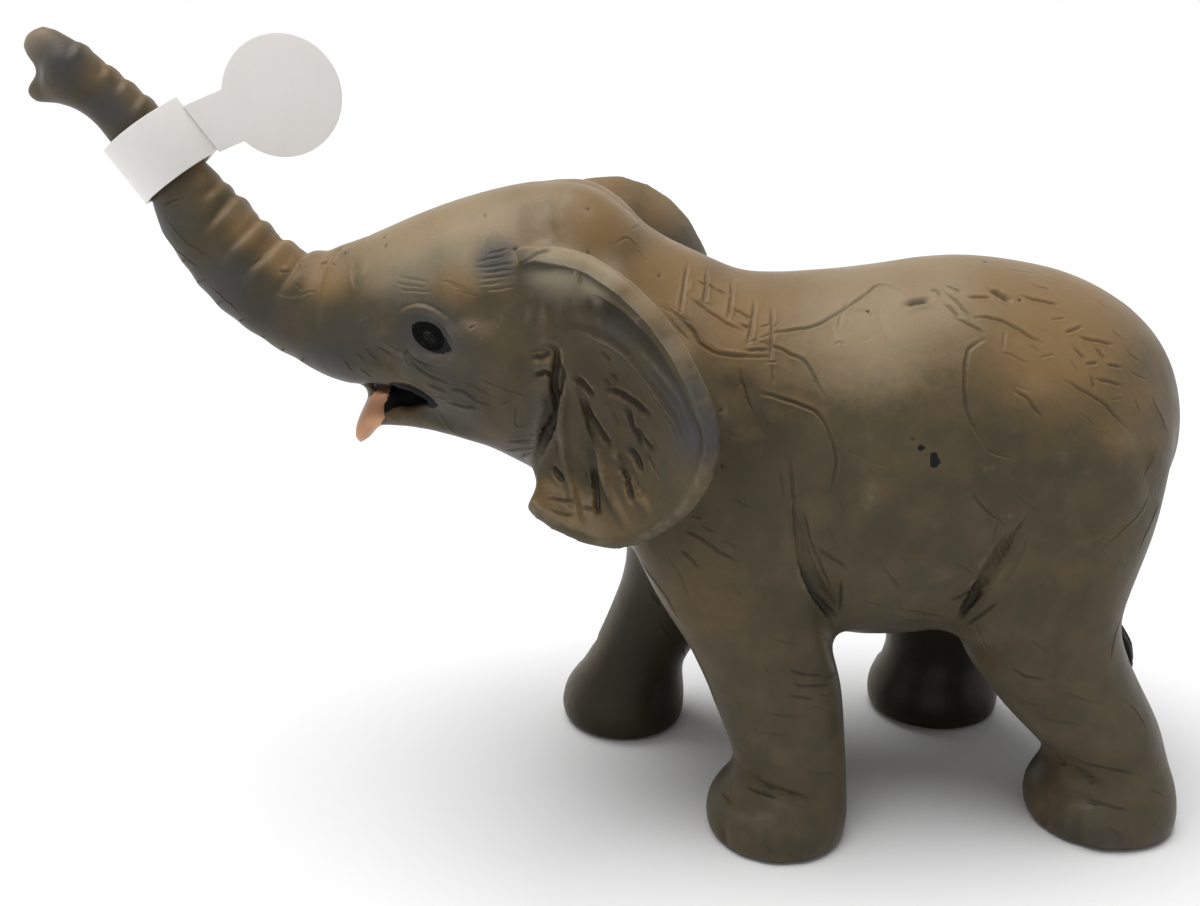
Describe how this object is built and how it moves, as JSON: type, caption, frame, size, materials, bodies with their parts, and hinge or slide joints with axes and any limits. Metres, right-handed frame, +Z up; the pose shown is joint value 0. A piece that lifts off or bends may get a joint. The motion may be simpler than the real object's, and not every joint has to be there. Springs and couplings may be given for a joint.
{
  "type": "toy elephant calf figure",
  "caption": "Painted soft-plastic elephant calf figure, walking with its trunk raised, with a white tag strip looped round the trunk that turns on it and ends in a disc flag.",
  "frame": {"origin": "on the floor, under the middle of the box round the whole figure", "axes": "+X from the trunk to the tail, so the animal looks towards -X; +Y to the animal's right side; +Z up"},
  "size_m": [0.0972, 0.042, 0.0656],
  "materials": {
    "hide": "painted grey-brown hide, dry-brushed and lightly satin",
    "lip": "painted like the hide, with a salmon lip and a black mouth",
    "dark_hair": "hide colour running into a near-black tuft",
    "tag_plastic": "bare white, glossy"
  },
  "bodies": {
    "figure": {"torso": "hide", "head": "hide", "trunk": "hide", "lower_jaw": "lip", "left_ear": "hide", "right_ear": "hide", "front_left_leg": "hide", "front_right_leg": "hide", "hind_left_leg": "hide", "hind_right_leg": "hide", "tail": "dark_hair"},
    "tag_loop": {"tag_band": "tag_plastic"},
    "tag_end": {"tag_flag": "tag_plastic"}
  },
  "joints": [
    {"name": "tag_turn", "type": "hinge", "parent": "figure", "child": "tag_loop", "pos_m": [-0.03826, 0.00465, 0.05541], "axis": [-0.5843, 0.0614, 0.8092], "continuous": true},
    {"name": "flag_flex", "type": "hinge", "parent": "tag_loop", "child": "tag_end", "pos_m": [-0.03424, 0.00423, 0.05761], "axis": [-0.5843, 0.0614, 0.8092], "range_deg": [-60, 60], "stiffness_Nm_per_rad": 0.00004}
  ]
}
